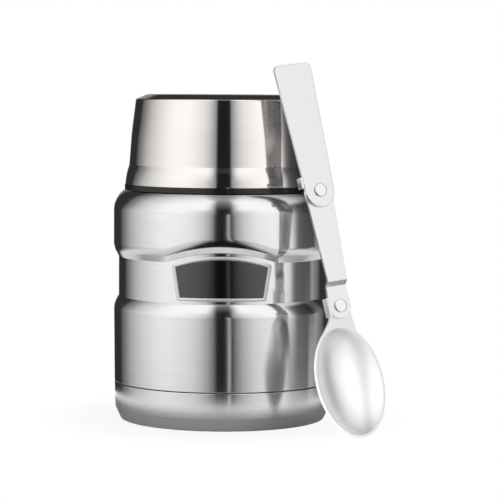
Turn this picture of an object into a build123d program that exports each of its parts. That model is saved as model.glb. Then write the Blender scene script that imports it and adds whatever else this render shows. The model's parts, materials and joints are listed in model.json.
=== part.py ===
from build123d import *
import os
from math import atan, cos, degrees, hypot, pi, radians, sin, sqrt, tan

# An insulated food jar with a screw-on cup, a screw stopper and a folding spoon.
# Millimetres. +Z is up, the origin is the centre of the foot, and the badge faces -Y.
# The folding spoon stands unfolded beside the jar, in front of its right-hand side.

os.makedirs("parts", exist_ok=True)

# ---- driving dimensions ------------------------------------------------------------------

STEEL = 0.5                 # sheet of the casing, the food vessel and the cup
GAP = 0.05                  # pieces that are seated or pressed together
RUNNING = 0.3               # pieces that turn or lift past each other

# Radii, from the mouth outwards
MOUTH_R = 34.4
NECK_GAP = 0.6              # between the vessel's neck and the casing's neck
SKIRT_WALL = 1.3            # the stopper's threaded skirt
CUP_RING_WALL = 3.4         # the cup's threaded ring, with the steel around it
LEDGE_SHOW = 0.29           # how far the casing's ledge stands out from under the cup
SHOULDER_RUN = 4.21         # from the ledge out to the band
BAND_STEP = 0.1             # the band above the waist stands this far outside the lower body
WAIST_DEPTH = 2.1
BODY_TAPER = 0.35           # the lower body narrows this much down to the seam
VACUUM_GAP = 2.2            # between the vessel and the casing's waist

# Casing heights, from the foot upwards
SEAM_Z = 16.5
SEAM_WIDTH = 0.3
WAIST_BOTTOM_Z = 53.7
BODY_EDGE_DROP = 2.5        # corner under the waist, before it is rounded
BODY_EDGE_ROUNDING = 8.8
WAIST_HEIGHT = 17.05
BEVEL_RISE = 4.19           # height of the bevel above the waist
BEVEL_ROUNDING = 8.0
BAND_HEIGHT = 25.61         # waist to the corner of the shoulder, before it is rounded
SHOULDER_RISE = 2.99
SHOULDER_ROUNDING = 9.8
NECK_HEIGHT = 11.65
NECK_ROUNDING = 1.0

# Arch: the bevel's foot rises over the badge
ARCH_R = 63.0
ARCH_RISE = 4.35
ARCH_HALF_WIDTH = 26.0
ARCH_BLEND = 0.73           # share of the bevel below its rounding
ARCH_EDGE_OUT = 0.1         # the arched bevel's upper edge, beyond the turned bevel's
ARCH_EDGE_UP = 0.9
ARCH_SLICES = 17

# Food vessel, foil and getter
VESSEL_BOTTOM_GAP = 5.2     # over the base cup's floor
VESSEL_CORNER = 12.0
VESSEL_SHOULDER_DROP = 8.35
VESSEL_SHOULDER_RISE = 6.4
VESSEL_SHOULDER_ROUNDING = 7.0
VESSEL_NECK_ROUNDING = 3.0
FOIL = 0.15
FOIL_GAP = 0.2
FOIL_TOP_DROP = 5.0
GETTER_R = 4.0
GETTER_HEIGHT = 2.4
GETTER_OFFSET = 16.0

# Base cup
FOOT_EDGE_Z = 5.2
FOOT_EDGE_STEP = 0.4        # the foot's edge stands this far inside the seam
FOOT_EDGE_ROUNDING = 5.0
FOOT_CHAMFER = 2.35
FOOT_WIDTH = 5.7
FOOT_RECESS = 1.6
FOOT_RECESS_SLOPE = 1.2
COLLAR_HEIGHT = 5.5         # the collar is spot-welded inside the casing
COLLAR_FOOT = 3.0           # height over which it joins the base cup's wall
SEAL_HOLE_R = 2.0
SEAL_BEAD = 0.8
SEAL_BEAD_LAP = 1.0

# Badge on the front of the waist
BADGE_FOOT = 1.15           # above the bottom of the waist
BADGE_HEADROOM = 1.4        # below the top of the arch
BADGE_CROWN = 3.8           # rise of its curved top
BADGE_TOP_HALF = 21.0
BADGE_BOTTOM_HALF = 18.7
BADGE_RIM = 1.1
BADGE_THICKNESS = 1.0
BADGE_BACK = 0.35
INLAY_THICKNESS = 0.4

# Threads
THREAD_STARTS = 4
THREAD_DEPTH = 0.9
THREAD_ROOT = 0.4           # how far a ridge reaches into its wall
THREAD_SLACK = 0.3          # between two ridges that bear on each other
NECK_LEAD = 16.0            # rise for one turn of the stopper
NECK_RIDGE = 1.2
NECK_THREAD_ARC = 50.0
NECK_THREAD_DROP = 5.2      # below the mouth's rim
CUP_LEAD = 24.0             # rise for one turn of the cup
CUP_RIDGE = 2.0
CUP_THREAD_ARC = 60.0
CUP_THREAD_RISE = 5.5       # above the skirt's lower edge
MATE_ARC = 40.0             # ridges of the pieces that screw on

# Stopper
SKIRT_FOOT_GAP = 0.65       # over the casing's ledge
GASKET_THICKNESS = 1.3
DECK_THICKNESS = 1.5
PLUG_CLEARANCE = 0.3
PLUG_WALL = 2.0
PLUG_DEPTH = 13.6           # below the mouth's rim
PLUG_CAP_THICKNESS = 1.4
PLUG_CAP_SPIGOT = 1.5
COMPARTMENT_INSET = 1.5     # wall between the compartment and the plug's outside
COMPARTMENT_DEPTH = 20.5
COMPARTMENT_FLOOR = 1.5
COMPARTMENT_CORNER = 2.0
DRUM_WALL = 2.2
DRUM_HEIGHT = 16.1          # above the deck
STOPPER_EDGE = 0.4          # rounding of its outer edges

# Cover of the spoon compartment
COVER_THICKNESS = 1.5
COVER_WALL = 0.95
COVER_SKIRT = 3.6
COVER_FIT = 0.15
COVER_EDGE = 0.8
TAB_REACH = 0.4
TAB_ARC = 26.0
TAB_INSET = 0.5             # the tab's upper face is this far below the cover's top

# Cup that closes the jar
CUP_FOOT_GAP = 0.4          # over the casing's ledge
RING_SHOW = 2.25            # height of the black ring that shows under the steel
RING_SETBACK = 0.2
SKIRT_EDGE_RISE = 3.6       # corners of the cup's wall: height above the last, and step inwards
SKIRT_EDGE_STEP = 0.65
CUP_STEP_RISE = 5.0
CUP_STEP = 1.5
CUP_WALL_RISE = 1.4
CUP_WALL_STEP = 0.1
CUP_BARREL_RISE = 12.3
CUP_BARREL_STEP = 0.9
CUP_TOP_STEP = 1.8
CUP_CROWN_DROP = 2.1
CUP_CROWN_RUN = 5.15
CUP_SEAL_THICKNESS = 1.3
CUP_SEAL_WIDTH = 1.5
CUP_SEAL_LAP = 0.9          # the ring's flange covers this much of the seal
CUP_RING_FLANGE = 1.5
CUP_BORE_HEADROOM = 1.0     # over the stopper's ridges
CUP_BOWL_INSET = 2.35       # from the cup's wall to the bowl inside it
CUP_BOWL_TAPER = 1.3
CUP_BOWL_CORNER = 7.0
CUP_BOWL_FLANGE = 1.2
CUP_HEADROOM = 6.0          # between the spoon cover and the top of the cup's bowl
CUP_TOP_GAP = 3.4           # between the cup's bowl and its outer top

# Folding spoon. Its own frame has +X to its right, +Y along it and +Z out of its front,
# with the lower rivet's axis at the origin and the neck's front face at height 0.
SPOON_BEARING = -45.18      # direction of the lower rivet from the jar's axis
SPOON_STAND_OFF = 21.73     # from the lower body out to the lower rivet
SPOON_FLOOR_GAP = 0.34
SPOON_TILT = 12.1           # leans to the left
SPOON_LEAN = 10.5           # leans back
SPOON_YAW = 30.0            # its right side is turned away
SHEET = 1.2                 # sheet of the handle, link and neck
PLATE_GAP = 0.1
BEND = 0.5                  # rounding of the bends in the sheet
LINK_LENGTH = 48.7          # rivet to rivet
LINK_END_R = 5.1
LINK_WAIST = 4.75
LINK_WAIST_AT = 11.0
LINK_WAIST_ROUNDING = 12.0
LINK_TOP_R = 6.6
JOGGLE_AT = 9.0
JOGGLE_RUN = 1.8
JOGGLE_STEP = 2.1
HANDLE_LENGTH = 54.5
HANDLE_END_R = 7.0
HANDLE_TOP_HALF = 9.2
HANDLE_CORNER = 2.5
HANDLE_SET = 0.8            # the stop holds the handle a little to the left of the link's line
BOWL_HALF_WIDTH = 16.6
BOWL_HALF_LENGTH = 23.8
BOWL_SIDE = 2.9             # the bowl's middle is this far to the left
BOWL_DEPTH = 9.0
BOWL_RIM_SLOPE = 5.0        # height of the bowl's ellipsoid centre above its rim
BOWL_SHEET = 0.9
BOWL_SET = 2.3              # the rim rises towards the tip
NECK_LENGTH = 7.9           # from the lower rivet to the bowl's rim
NECK_BEND = 7.2
NECK_END_R = 5.3
NECK_SIDE_Y = 5.0
NECK_SIDE_ROUNDING = 6.0
NECK_WEB = 4.6              # how far the neck's sheet runs on beside the bowl's rim
NECK_WEB_INSET = 0.5
TAB_SHEET = 1.2             # the stop tabs
TAB_ROOT = 3.0
TAB_CLEARANCE = 0.25
LOWER_TAB = (-4.1, 3.8)     # from and to along the spoon, measured from its rivet
LOWER_TAB_PROUD = 1.0
UPPER_TAB = (1.6, 6.1)
UPPER_TAB_PROUD = 0.5
RIVET_R = 1.5
RIVET_HEAD_R = 2.9
RIVET_HEAD = 0.7

# ---- working values that follow from them ------------------------------------------------

CORE = 5.0                  # sections run this far past the axis, or past an open end
FAR = 200.0
TINY = 1e-6

VESSEL_NECK_R = MOUTH_R + STEEL
NECK_R = VESSEL_NECK_R + NECK_GAP + STEEL
SKIRT_IN_R = NECK_R + THREAD_DEPTH + RUNNING
SKIRT_R = SKIRT_IN_R + SKIRT_WALL
CUP_BORE_R = SKIRT_R + THREAD_DEPTH + RUNNING
CUP_SKIRT_R = CUP_BORE_R + CUP_RING_WALL
LEDGE_R = CUP_SKIRT_R + LEDGE_SHOW
BAND_R = LEDGE_R + SHOULDER_RUN
BODY_R = BAND_R - BAND_STEP
SEAM_R = BODY_R - BODY_TAPER
WAIST_R = BODY_R - WAIST_DEPTH
VESSEL_R = WAIST_R - STEEL - VACUUM_GAP
FOOT_EDGE_R = SEAM_R - FOOT_EDGE_STEP
FOOT_R = FOOT_EDGE_R - FOOT_CHAMFER
FOOT_INNER_R = FOOT_R - FOOT_WIDTH

WAIST_TOP_Z = WAIST_BOTTOM_Z + WAIST_HEIGHT
SHOULDER_Z = WAIST_TOP_Z + BAND_HEIGHT
LEDGE_Z = SHOULDER_Z + SHOULDER_RISE
NECK_TOP_Z = LEDGE_Z + NECK_HEIGHT
ARCH_TOP_Z = WAIST_TOP_Z + ARCH_RISE
VESSEL_BOTTOM_Z = FOOT_RECESS + STEEL + VESSEL_BOTTOM_GAP
VESSEL_SHOULDER_Z = LEDGE_Z - VESSEL_SHOULDER_DROP

PLUG_R = MOUTH_R - PLUG_CLEARANCE
PLUG_IN_R = PLUG_R - PLUG_WALL
PLUG_BOTTOM_Z = NECK_TOP_Z - PLUG_DEPTH
DECK_Z = NECK_TOP_Z + GASKET_THICKNESS + 2 * GAP
DECK_TOP_Z = DECK_Z + DECK_THICKNESS
SKIRT_BOTTOM_Z = LEDGE_Z + SKIRT_FOOT_GAP
COMPARTMENT_R = PLUG_R - COMPARTMENT_INSET
DRUM_R = COMPARTMENT_R + DRUM_WALL
DRUM_TOP_Z = DECK_TOP_Z + DRUM_HEIGHT
COMPARTMENT_Z = DRUM_TOP_Z - COMPARTMENT_DEPTH
FOAM_TOP_Z = COMPARTMENT_Z - COMPARTMENT_FLOOR
GASKET_R = SKIRT_IN_R - RUNNING
NECK_THREAD_Z = NECK_TOP_Z - NECK_THREAD_DROP
CUP_THREAD_Z = SKIRT_BOTTOM_Z + CUP_THREAD_RISE

COVER_IN_R = DRUM_R + COVER_FIT
COVER_R = COVER_IN_R + COVER_WALL
COVER_Z = DRUM_TOP_Z + PLATE_GAP
COVER_TOP_Z = COVER_Z + COVER_THICKNESS

CUP_RING_BOTTOM_Z = LEDGE_Z + CUP_FOOT_GAP
CUP_SHELL_Z = CUP_RING_BOTTOM_Z + RING_SHOW
CUP_STEP_Z = CUP_SHELL_Z + SKIRT_EDGE_RISE + CUP_STEP_RISE
CUP_WALL_Z = CUP_STEP_Z + CUP_WALL_RISE
CUP_WALL_R = CUP_SKIRT_R - SKIRT_EDGE_STEP - CUP_STEP - CUP_WALL_STEP
CUP_BARREL_R = CUP_WALL_R - CUP_BARREL_STEP
CUP_TOP_R = CUP_BARREL_R - CUP_TOP_STEP
CUP_SEAL_R = SKIRT_R - RUNNING
CUP_FLANGE_Z = DECK_TOP_Z + CUP_SEAL_THICKNESS + 2 * GAP
CUP_RING_TOP_Z = CUP_FLANGE_Z + CUP_RING_FLANGE
CUP_BORE_TOP_Z = CUP_THREAD_Z + CUP_RIDGE / 2 + CUP_LEAD * CUP_THREAD_ARC / 720 + CUP_BORE_HEADROOM
CUP_BOWL_R = CUP_WALL_R - CUP_BOWL_INSET
CUP_BOWL_TOP_Z = COVER_TOP_Z + CUP_HEADROOM
HEIGHT = CUP_BOWL_TOP_Z + CUP_TOP_GAP

LINK_Z = PLATE_GAP
LINK_TOP_Z = LINK_Z + JOGGLE_STEP
HANDLE_Z = LINK_TOP_Z + SHEET + PLATE_GAP
BOWL_Y = -NECK_LENGTH - BOWL_HALF_LENGTH
SPOON_DISTANCE = BODY_R + SPOON_STAND_OFF
SPOON_AT = (
    SPOON_DISTANCE * cos(radians(SPOON_BEARING)),
    SPOON_DISTANCE * sin(radians(SPOON_BEARING)),
    (BOWL_HALF_LENGTH - BOWL_Y) * cos(radians(SPOON_TILT)) * cos(radians(SPOON_LEAN)) + SPOON_FLOOR_GAP)
SPOON = (Pos(*SPOON_AT) * Rotation(-SPOON_LEAN, 0, 0) * Plane.XZ.location
         * Rotation(0, 0, SPOON_TILT) * Rotation(0, SPOON_YAW, 0))


# ---- helpers -----------------------------------------------------------------------------

def save(name, shape):
    export_step(shape, f"parts/{name}.step")
    print(f"{name}: {len(shape.solids())} solid, {shape.volume:.0f} mm3")


def outline(*corners):
    """A closed face from (x, y) or (x, y, rounding) corners. Its edges limit a rounding."""
    count = len(corners)
    points = [Vector(corner[0], corner[1]) for corner in corners]
    rounding = [corner[2] if len(corner) > 2 else 0 for corner in corners]
    edges = [points[(i + 1) % count] - points[i] for i in range(count)]
    runs = [rounding[i] * tan(radians(edges[i - 1].get_angle(edges[i]) / 2)) for i in range(count)]
    room = [0.99 * edges[i].length / (runs[i] + runs[(i + 1) % count] + TINY) for i in range(count)]
    limited = [rounding[i] * min(1, room[i - 1], room[i]) for i in range(count)]
    return make_face(FilletPolyline(*points, radius=limited, close=True))


def turned(*corners, arc=360):
    """A solid of revolution about Z from a closed section of (radius, height) corners."""
    return revolve(Plane.XZ * outline(*corners), Axis.Z, arc)


def form(section, inset, bottom, top):
    """The turned solid inside a section's line, moved in by inset and cut off at two heights."""
    if inset:
        section = offset(section, -inset)
    window = Pos(FAR / 2, (bottom + top) / 2) * Rectangle(FAR, top - bottom)
    return revolve(Plane.XZ * (section & window), Axis.Z)


def disc(radius, bottom, top):
    return Pos(0, 0, bottom) * Cylinder(radius, top - bottom, align=(Align.CENTER, Align.CENTER, Align.MIN))


def tube(inner, outer, bottom, top):
    return disc(outer, bottom, top) - disc(inner, bottom, top)


def block(x, y, z):
    """A box between two limits on each axis."""
    size = [high - low for low, high in (x, y, z)]
    return Pos(x[0], y[0], z[0]) * Box(*size, align=(Align.MIN, Align.MIN, Align.MIN))


def thread(radius, depth, width, lead, arc, height, turn=0):
    """Slanting ridges around a wall, standing out where depth is positive and in where negative."""
    root = radius - (THREAD_ROOT if depth > 0 else -THREAD_ROOT)
    crest = radius + depth
    section = outline((root, -width / 2), (crest, -width / 3), (crest, width / 3), (root, width / 2))
    ridge = Rotation(0, 0, -arc / 2) * revolve(Plane.XZ * section, Axis.Z, arc)
    slant = degrees(atan(lead / (2 * pi * radius)))
    ridges = [Rotation(0, 0, turn + 360 * start / THREAD_STARTS) * Rotation(slant, 0, 0) * ridge
              for start in range(THREAD_STARTS)]
    return [Pos(0, 0, height) * ridge for ridge in ridges]


def mesh_turn(width, lead):
    """Angle by which the inner ridges lag the outer ones, so that they bear from below."""
    return (width + THREAD_SLACK) * 360 / lead


# ---- jar ---------------------------------------------------------------------------------

CASING = outline(
    (-CORE, SEAM_Z - CORE), (SEAM_R, SEAM_Z - CORE),
    (BODY_R, WAIST_BOTTOM_Z - BODY_EDGE_DROP, BODY_EDGE_ROUNDING), (WAIST_R, WAIST_BOTTOM_Z),
    (WAIST_R, WAIST_TOP_Z), (BAND_R, WAIST_TOP_Z + BEVEL_RISE, BEVEL_ROUNDING),
    (BAND_R, SHOULDER_Z, SHOULDER_ROUNDING), (LEDGE_R, LEDGE_Z), (NECK_R, LEDGE_Z, NECK_ROUNDING),
    (NECK_R, NECK_TOP_Z + CORE), (-CORE, NECK_TOP_Z + CORE))


def arch_pocket(inset):
    """What is cut from the front above the waist, so that the bevel arches over the badge."""
    depth = BAND_R - WAIST_R
    lift = inset * hypot(1, BEVEL_RISE / depth)
    blend = (ARCH_BLEND * depth, ARCH_BLEND * BEVEL_RISE)
    edge = (depth + ARCH_EDGE_OUT, BEVEL_RISE + ARCH_EDGE_UP)
    bevel = [(0, 0), blend, edge, (depth + CORE, BEVEL_RISE + 3 * CORE)]
    bottom = (WAIST_BOTTOM_Z + WAIST_TOP_Z) / 2
    slices = []
    for step in range(ARCH_SLICES):
        x = ARCH_HALF_WIDTH * (2 * step / (ARCH_SLICES - 1) - 1)
        foot = ARCH_TOP_Z - ARCH_R + sqrt(ARCH_R ** 2 - x ** 2) + lift
        front = [(x, -sqrt((WAIST_R - inset + out) ** 2 - x ** 2), foot + up) for out, up in bevel]
        back_y = front[0][1] + CORE / 2
        corners = [(x, back_y, foot), *front, (x, front[-1][1], bottom), (x, back_y, bottom)]
        slices.append(make_face(Polyline(*corners, close=True)))
    return loft(slices, ruled=True) - disc(WAIST_R - inset, 0, NECK_TOP_Z)


def casing_form(inset):
    return form(CASING, inset, SEAM_Z + SEAM_WIDTH / 2, NECK_TOP_Z - STEEL) - arch_pocket(inset)


def outer_shell():
    shell = casing_form(0) - casing_form(STEEL)
    return shell + thread(NECK_R, THREAD_DEPTH, NECK_RIDGE, NECK_LEAD, NECK_THREAD_ARC, NECK_THREAD_Z)


def base_cup():
    section = outline(
        (-CORE, FOOT_RECESS), (FOOT_INNER_R - FOOT_RECESS_SLOPE, FOOT_RECESS, 0.8), (FOOT_INNER_R, 0),
        (FOOT_R, 0), (FOOT_EDGE_R, FOOT_EDGE_Z, FOOT_EDGE_ROUNDING), (SEAM_R, SEAM_Z + CORE),
        (-CORE, SEAM_Z + CORE))
    top = SEAM_Z - SEAM_WIDTH / 2
    cup = form(section, 0, 0, top) - form(section, STEEL, 0, top)
    outer = SEAM_R - STEEL - GAP
    inner, welded = outer - STEEL, outer + STEEL / 2
    collar = turned(
        (inner, top - COLLAR_FOOT), (welded, top - COLLAR_FOOT + STEEL), (welded, top - STEEL),
        (outer, top - STEEL / 2), (outer, top + COLLAR_HEIGHT), (inner, top + COLLAR_HEIGHT))
    return cup + collar - disc(SEAL_HOLE_R, 0, FOOT_RECESS + 2 * STEEL)


def vacuum_seal():
    """The bead that closes the hole through which the air was drawn out."""
    floor = FOOT_RECESS + STEEL
    bead = disc(SEAL_HOLE_R + SEAL_BEAD_LAP, floor, floor + SEAL_BEAD)
    return disc(SEAL_HOLE_R, FOOT_RECESS, floor) + bead


VESSEL = outline(
    (-CORE, VESSEL_BOTTOM_Z), (VESSEL_R, VESSEL_BOTTOM_Z, VESSEL_CORNER),
    (VESSEL_R, VESSEL_SHOULDER_Z, VESSEL_SHOULDER_ROUNDING),
    (VESSEL_NECK_R, VESSEL_SHOULDER_Z + VESSEL_SHOULDER_RISE, VESSEL_NECK_ROUNDING),
    (VESSEL_NECK_R, NECK_TOP_Z + CORE), (-CORE, NECK_TOP_Z + CORE))


def inner_vessel():
    vessel = form(VESSEL, 0, 0, NECK_TOP_Z) - form(VESSEL, STEEL, 0, NECK_TOP_Z)
    lip = tube(MOUTH_R, NECK_R, NECK_TOP_Z - STEEL, NECK_TOP_Z)
    return vessel + fillet(lip.edges().group_by(Axis.Z)[-1], STEEL * 0.4)


def heat_foil():
    """A copper foil around the vessel, in the vacuum."""
    inner = VESSEL_R + FOIL_GAP
    return tube(inner, inner + FOIL, VESSEL_BOTTOM_Z + VESSEL_CORNER, VESSEL_SHOULDER_Z - FOIL_TOP_DROP)


def getter():
    """The pellet under the vessel that takes up the last gas."""
    return Pos(GETTER_OFFSET, 0, 0) * disc(GETTER_R, VESSEL_BOTTOM_Z - GETTER_HEIGHT, VESSEL_BOTTOM_Z)


# ---- badge -------------------------------------------------------------------------------

def badge_block(inset):
    """The badge's outline drawn right through the front of the waist."""
    top_z = ARCH_TOP_Z - BADGE_HEADROOM - inset
    half, corner_z = BADGE_TOP_HALF - inset, top_z - BADGE_CROWN + inset / 4
    side, bottom = BADGE_BOTTOM_HALF - inset / 2, WAIST_BOTTOM_Z + BADGE_FOOT + inset * 1.5
    left, right = (-half, corner_z), (half, corner_z)
    edge = (ThreePointArc(left, (0, top_z), right)
            + Polyline(right, (side, bottom), (-side, bottom), left))
    return extrude(Plane.XZ * make_face(edge), BODY_R + CORE)


def badge_layer(inset, low, high):
    return badge_block(inset) & tube(WAIST_R + low, WAIST_R + high, 0, NECK_TOP_Z)


def badge_plate():
    return badge_layer(0, 0, BADGE_THICKNESS) - badge_layer(BADGE_RIM, BADGE_BACK, 2 * BADGE_THICKNESS)


def badge_inlay():
    return badge_layer(BADGE_RIM, BADGE_BACK, BADGE_BACK + INLAY_THICKNESS)


# ---- stopper -----------------------------------------------------------------------------

def stopper_body():
    """The drum of the spoon compartment, whose lower end sits in the mouth."""
    return turned(
        (0, COMPARTMENT_Z), (COMPARTMENT_R, COMPARTMENT_Z, COMPARTMENT_CORNER), (COMPARTMENT_R, DRUM_TOP_Z),
        (DRUM_R, DRUM_TOP_Z, STOPPER_EDGE), (DRUM_R, DECK_Z), (PLUG_R, DECK_Z), (PLUG_R, FOAM_TOP_Z),
        (0, FOAM_TOP_Z))


def stopper_plug():
    """The plug's wall, welded under the drum."""
    return tube(PLUG_IN_R, PLUG_R, PLUG_BOTTOM_Z, FOAM_TOP_Z - GAP)


def stopper_skirt():
    """The ring welded around the drum: a deck over the mouth's rim and a skirt with both threads."""
    skirt = turned(
        (DRUM_R + GAP, DECK_Z), (DRUM_R + GAP, DECK_TOP_Z), (SKIRT_R, DECK_TOP_Z, STOPPER_EDGE),
        (SKIRT_R, SKIRT_BOTTOM_Z), (SKIRT_IN_R, SKIRT_BOTTOM_Z), (SKIRT_IN_R, DECK_Z))
    skirt += thread(SKIRT_IN_R, -THREAD_DEPTH, NECK_RIDGE, NECK_LEAD, MATE_ARC, NECK_THREAD_Z,
                    mesh_turn(NECK_RIDGE, NECK_LEAD))
    return skirt + thread(SKIRT_R, THREAD_DEPTH, CUP_RIDGE, CUP_LEAD, CUP_THREAD_ARC, CUP_THREAD_Z)


def stopper_cap():
    """The disc welded under the plug."""
    spigot = PLUG_IN_R - GAP
    bottom, top = PLUG_BOTTOM_Z - PLUG_CAP_THICKNESS, PLUG_BOTTOM_Z + PLUG_CAP_SPIGOT
    return turned((0, bottom), (PLUG_R, bottom, 1.0), (PLUG_R, PLUG_BOTTOM_Z), (spigot, PLUG_BOTTOM_Z),
                  (spigot, top), (0, top))


def stopper_foam():
    return disc(PLUG_IN_R - GAP, PLUG_BOTTOM_Z + PLUG_CAP_SPIGOT, FOAM_TOP_Z - GAP)


def stopper_gasket():
    """The silicone ring between the deck and the mouth's rim."""
    inner, bottom, top = PLUG_R + GAP, NECK_TOP_Z + GAP, DECK_Z - GAP
    return turned((inner, bottom), (GASKET_R, bottom, 0.3), (GASKET_R, top, 0.3), (inner, top))


def spoon_cover():
    cover = turned(
        (0, COVER_Z), (COVER_IN_R, COVER_Z), (COVER_IN_R, COVER_Z - COVER_SKIRT),
        (COVER_R, COVER_Z - COVER_SKIRT), (COVER_R, COVER_TOP_Z, COVER_EDGE), (0, COVER_TOP_Z))
    inner, outer = COVER_R - COVER_WALL / 2, COVER_R + TAB_REACH
    bottom, top = COVER_Z - TAB_INSET, COVER_TOP_Z - TAB_INSET
    tab = turned((inner, bottom), (outer, bottom), (outer, top), (inner, top), arc=TAB_ARC)
    return cover + Rotation(0, 0, -90 - TAB_ARC / 2) * tab


# ---- cup ---------------------------------------------------------------------------------

CUP = outline(
    (-CORE, CUP_SHELL_Z - 2 * CORE), (CUP_SKIRT_R, CUP_SHELL_Z - 2 * CORE),
    (CUP_SKIRT_R - SKIRT_EDGE_STEP, CUP_SHELL_Z + SKIRT_EDGE_RISE, 25.0),
    (CUP_WALL_R + CUP_WALL_STEP, CUP_STEP_Z, 2.0), (CUP_WALL_R, CUP_WALL_Z),
    (CUP_BARREL_R, CUP_WALL_Z + CUP_BARREL_RISE, 100.0), (CUP_TOP_R, HEIGHT - CUP_CROWN_DROP, 1.0),
    (CUP_TOP_R - CUP_CROWN_RUN, HEIGHT, 4.0), (-CORE, HEIGHT))


def cup_shell():
    return form(CUP, 0, CUP_SHELL_Z, HEIGHT) - form(CUP, STEEL, CUP_SHELL_Z, HEIGHT)


def cup_ring():
    """The black plastic ring that lines the cup's skirt and carries its thread."""
    ring = form(CUP, STEEL + GAP, CUP_SHELL_Z - GAP, CUP_RING_TOP_Z)
    ring += disc(CUP_SKIRT_R - RING_SETBACK, CUP_RING_BOTTOM_Z, CUP_SHELL_Z)
    ring -= disc(CUP_BORE_R, 0, CUP_BORE_TOP_Z)
    ring -= disc(SKIRT_R + RUNNING, 0, CUP_FLANGE_Z)
    ring -= disc(CUP_SEAL_R - CUP_SEAL_LAP, 0, HEIGHT)
    return ring + thread(CUP_BORE_R, -THREAD_DEPTH, CUP_RIDGE, CUP_LEAD, MATE_ARC, CUP_THREAD_Z,
                         mesh_turn(CUP_RIDGE, CUP_LEAD))


def cup_seal():
    return tube(CUP_SEAL_R - CUP_SEAL_WIDTH, CUP_SEAL_R, DECK_TOP_Z + GAP, CUP_FLANGE_Z - GAP)


def cup_bowl():
    """The steel bowl inside the cup, whose flange rests on the ring."""
    section = outline(
        (-CORE, CUP_RING_TOP_Z - CORE), (CUP_BOWL_R, CUP_RING_TOP_Z - CORE),
        (CUP_BOWL_R - CUP_BOWL_TAPER, CUP_BOWL_TOP_Z, CUP_BOWL_CORNER), (-CORE, CUP_BOWL_TOP_Z))
    bowl = form(section, 0, CUP_RING_TOP_Z, HEIGHT) - form(section, STEEL, CUP_RING_TOP_Z, HEIGHT)
    inner, outer = CUP_BOWL_R - STEEL, CUP_BOWL_R + CUP_BOWL_FLANGE
    return bowl + tube(inner, outer, CUP_RING_TOP_Z, CUP_RING_TOP_Z + STEEL)


# ---- folding spoon -----------------------------------------------------------------------

def plate(face, bottom, top):
    """A flat piece of the spoon between two heights of its frame."""
    return Pos(0, 0, bottom) * extrude(face, top - bottom)


def rounded_end(radius, *sides):
    """A strip's outline: a round end about the origin, then the corners up its sides."""
    return Circle(radius) + outline((-radius, 0), (radius, 0), *sides)


def ellipsoid(inset):
    """The bowl's ellipsoid, about the middle of its rim."""
    depth = BOWL_DEPTH + BOWL_RIM_SLOPE
    spread = sqrt(1 - (BOWL_RIM_SLOPE / depth) ** 2)
    axes = (BOWL_HALF_WIDTH / spread - inset, BOWL_HALF_LENGTH / spread - inset, depth - inset)
    return Pos(0, 0, BOWL_RIM_SLOPE) * scale(Sphere(1), by=axes)


def stop_tab(inner_x, y, bottom, top):
    """A tab on a plate's left edge, bent forward to stop the next piece."""
    outer_x = inner_x - TAB_SHEET
    return (block((outer_x, inner_x), y, (bottom, top))
            + block((outer_x, -TAB_ROOT), y, (bottom, bottom + SHEET)))


def spoon_bowl():
    bowl_frame = (Pos(-BOWL_SIDE, -NECK_BEND, 0) * Rotation(-BOWL_SET, 0, 0)
                  * Pos(0, BOWL_Y + NECK_BEND, 0))
    hollow = bowl_frame * ellipsoid(BOWL_SHEET)
    below_rim = block((-FAR, FAR), (-FAR, FAR), (-FAR, 0))
    shell = bowl_frame * ((ellipsoid(0) & below_rim) - ellipsoid(BOWL_SHEET))
    web_y = -NECK_LENGTH - NECK_WEB
    web_half = BOWL_HALF_WIDTH * sqrt(1 - ((web_y - BOWL_Y) / BOWL_HALF_LENGTH) ** 2) - NECK_WEB_INSET
    neck = plate(rounded_end(
        NECK_END_R, (NECK_END_R, -NECK_SIDE_Y, NECK_SIDE_ROUNDING), (-BOWL_SIDE + web_half, web_y),
        (-BOWL_SIDE - web_half, web_y), (-NECK_END_R, -NECK_SIDE_Y, NECK_SIDE_ROUNDING)), -SHEET, 0)
    tab = stop_tab(-LINK_END_R - TAB_CLEARANCE, LOWER_TAB, -SHEET, LINK_Z + SHEET + LOWER_TAB_PROUD)
    hole = disc(RIVET_R + GAP, -FAR, FAR)
    return SPOON * (neck + shell - hollow + tab - hole)


def spoon_link():
    face = rounded_end(
        LINK_END_R, (LINK_WAIST, LINK_WAIST_AT, LINK_WAIST_ROUNDING), (LINK_TOP_R, LINK_LENGTH),
        (-LINK_TOP_R, LINK_LENGTH), (-LINK_WAIST, LINK_WAIST_AT, LINK_WAIST_ROUNDING))
    face += Pos(0, LINK_LENGTH) * Circle(LINK_TOP_R)
    joggle_end = JOGGLE_AT + JOGGLE_RUN
    side = outline(
        (-FAR, LINK_Z), (JOGGLE_AT, LINK_Z, BEND), (joggle_end, LINK_TOP_Z, BEND), (FAR, LINK_TOP_Z),
        (FAR, LINK_TOP_Z + SHEET), (joggle_end - BEND, LINK_TOP_Z + SHEET, BEND),
        (JOGGLE_AT - BEND, LINK_Z + SHEET, BEND), (-FAR, LINK_Z + SHEET))
    strip = plate(face, 0, HANDLE_Z) & extrude(Plane.YZ * side, FAR, both=True)
    reach = UPPER_TAB[1]
    handle_edge = (HANDLE_END_R + (HANDLE_TOP_HALF - HANDLE_END_R) * reach / HANDLE_LENGTH
                   + reach * sin(radians(HANDLE_SET)))
    tab_y = [LINK_LENGTH + end for end in UPPER_TAB]
    tab = stop_tab(-handle_edge - TAB_CLEARANCE, tab_y, LINK_TOP_Z, HANDLE_Z + SHEET + UPPER_TAB_PROUD)
    holes = disc(RIVET_R, -FAR, FAR) + Pos(0, LINK_LENGTH, 0) * disc(RIVET_R, -FAR, FAR)
    return SPOON * (strip + tab - holes)


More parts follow.
